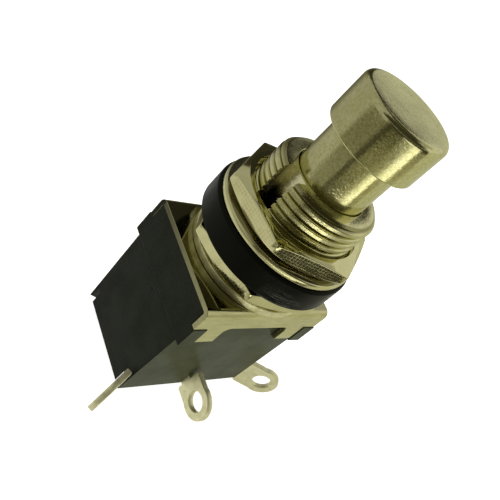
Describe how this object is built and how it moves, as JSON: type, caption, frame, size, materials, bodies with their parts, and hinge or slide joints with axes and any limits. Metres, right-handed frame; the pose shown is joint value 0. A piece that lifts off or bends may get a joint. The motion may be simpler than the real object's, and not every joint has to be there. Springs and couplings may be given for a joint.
{
  "type": "foot switch",
  "caption": "Panel-mounted stomp foot switch: capped metal plunger in a threaded bushing with nuts and washers, folded bracket, black housing and eyelet solder lugs.",
  "frame": {"origin": "on the plunger axis, on the top face of the bracket plate", "axes": "+Z along the plunger, towards the button; X along the long side of the housing; -Y is the side of the middle solder lug"},
  "size_m": [0.0266, 0.0196, 0.0408],
  "materials": {
    "nickel_plunger": "nickel-plated turned metal, softly polished",
    "nickel_thread": "nickel-plated machined thread",
    "nickel_nut": "nickel-plated, fine wrench and tool marks",
    "nickel_washer": "nickel-plated stamped sheet",
    "nickel_sheet": "nickel-plated folded sheet steel",
    "black_spacer": "black moulded plastic, satin with scuffs",
    "black_housing": "black moulded phenolic, satin",
    "phenolic_cover": "dark brown phenolic board",
    "tinned_lug": "tinned brass strip",
    "spring_steel": "bright spring steel",
    "white_nylon": "natural nylon",
    "contact_bronze": "phosphor bronze",
    "contact_silver": "silver contact metal",
    "pivot_brass": "turned brass"
  },
  "bodies": {
    "frame": {"bracket": "nickel_sheet", "bushing": "nickel_thread", "lower_nut": "nickel_nut", "top_nut": "nickel_nut", "flat_washer": "nickel_washer", "spacer_ring": "black_spacer", "housing": "black_housing", "base_cover": "phenolic_cover", "terminal_left": "tinned_lug", "terminal_middle": "tinned_lug", "terminal_right": "tinned_lug", "contact_left": "contact_silver", "contact_right": "contact_silver", "spring_seat": "spring_steel", "return_spring": "spring_steel", "pivot_pin": "pivot_brass"},
    "button": {"plunger": "nickel_plunger", "retaining_clip": "spring_steel", "drive_crown": "white_nylon"},
    "ratchet": {"rotor": "white_nylon", "contact_spider": "contact_bronze"}
  },
  "joints": [
    {"name": "press", "type": "slide", "parent": "frame", "child": "button", "axis": [0, 0, 1], "range_m": [-0.004, 0], "stiffness_N_per_m": 2000, "springref_m": 0.003, "deforming": ["return_spring"]},
    {"name": "index", "type": "hinge", "parent": "frame", "child": "ratchet", "pos_m": [0, 0, -0.012], "axis": [0, 0, 1], "continuous": true}
  ]
}
